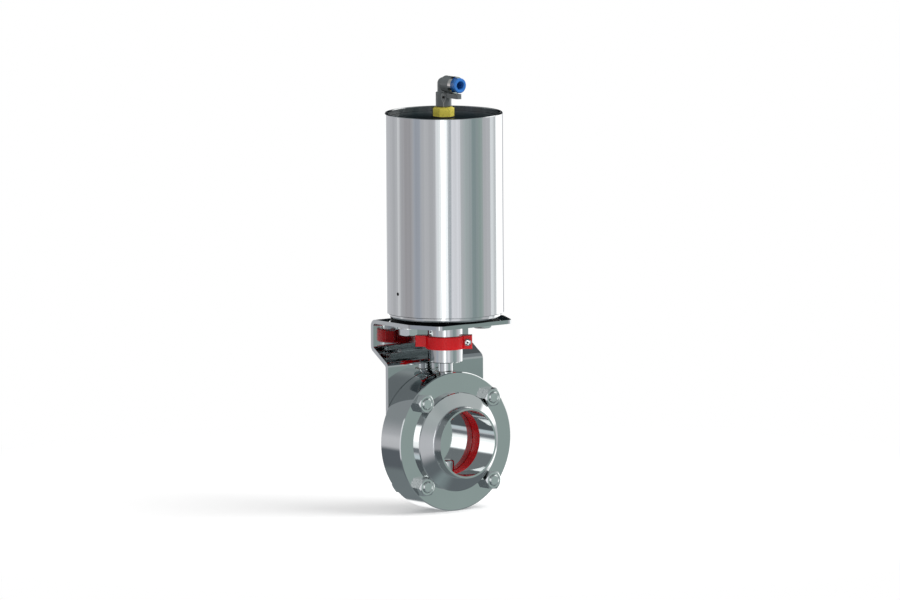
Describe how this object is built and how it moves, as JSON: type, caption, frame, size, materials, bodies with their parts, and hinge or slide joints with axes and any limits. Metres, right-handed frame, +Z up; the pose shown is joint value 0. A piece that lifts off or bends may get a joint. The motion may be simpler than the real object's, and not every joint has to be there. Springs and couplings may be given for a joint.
{
  "type": "pneumatic butterfly valve",
  "caption": "Sanitary butterfly valve with weld ends, closed disc in a red seat, a bent sheet bracket and a tall spring-return air cylinder with a push-in elbow on top.",
  "frame": {"origin": "lowest point of the body flanges, straight below the stem, halfway between the two weld ends", "axes": "+Z up along the stem towards the air fitting, +Y along the pipe towards the bracket side, +X across the pipe"},
  "size_m": [0.105, 0.0888, 0.3289],
  "materials": {
    "satin_steel": "satin turned stainless steel",
    "polished_steel": "polished stainless steel",
    "sheet_steel": "polished sheet",
    "bolt_steel": "bright stainless fasteners",
    "spring_steel": "plain spring steel",
    "dark_aluminium": "dark anodised aluminium",
    "cast_aluminium": "machined aluminium",
    "brass": "bright brass",
    "bright_nickel": "nickel plated",
    "red_silicone": "smooth silicone",
    "red_plastic": "moulded plastic",
    "blue_plastic": "moulded plastic",
    "grey_plastic": "moulded plastic",
    "black_plastic": "satin black",
    "bearing_plastic": "bearing plastic",
    "black_rubber": "plain rubber"
  },
  "bodies": {
    "housing": {"front_body_flange": "satin_steel", "rear_body_flange": "satin_steel", "seat_ring": "red_silicone", "upper_stem_bush": "bearing_plastic", "lower_stem_bush": "bearing_plastic", "upper_body_bolts": "bolt_steel", "lower_body_bolts": "bolt_steel", "body_nuts": "bolt_steel", "mounting_bracket": "sheet_steel", "bracket_bolts": "bolt_steel", "bracket_washers": "bolt_steel", "actuator_tube": "polished_steel", "lower_cap": "dark_aluminium", "upper_cap": "black_plastic", "lower_lock_ring": "bolt_steel", "upper_lock_ring": "bolt_steel", "cap_o_rings": "black_rubber", "shaft_bush": "bearing_plastic", "thrust_washer": "bearing_plastic", "guide_sleeve": "sheet_steel", "return_spring": "spring_steel", "port_seal": "black_rubber", "brass_adaptor": "brass"},
    "drive_train": {"butterfly_disc": "polished_steel", "valve_stem": "polished_steel", "drive_coupling": "polished_steel", "coupling_grub_screw": "bolt_steel", "indicator_ring": "red_plastic", "indicator_screw": "bolt_steel", "output_shaft": "polished_steel"},
    "piston_group": {"piston": "cast_aluminium", "piston_seal": "black_rubber", "piston_guide_band": "bearing_plastic", "cross_pin": "polished_steel"},
    "elbow": {"elbow_body": "grey_plastic", "elbow_collar": "bright_nickel", "tube_grip_ring": "spring_steel", "tube_seal": "black_rubber"},
    "collet": {"release_collet": "blue_plastic"}
  },
  "joints": [
    {"name": "stem_turn", "type": "hinge", "parent": "housing", "child": "drive_train", "pos_m": [0, 0, 0.0525], "axis": [0, 0, 1], "range_deg": [0, 90]},
    {"name": "piston_stroke", "type": "slide", "parent": "housing", "child": "piston_group", "axis": [0, 0, 1], "range_m": [-0.0401, 0], "deforming": ["return_spring"]},
    {"name": "elbow_swivel", "type": "hinge", "parent": "housing", "child": "elbow", "pos_m": [0, 0, 0.31], "axis": [0, 0, 1], "continuous": true},
    {"name": "collet_press", "type": "slide", "parent": "elbow", "child": "collet", "axis": [0, 1, 0], "range_m": [0, 0.0015]}
  ],
  "couplings": [
    {"joint": "piston_stroke", "follows": "stem_turn", "m_per_rad": -0.025465}
  ]
}
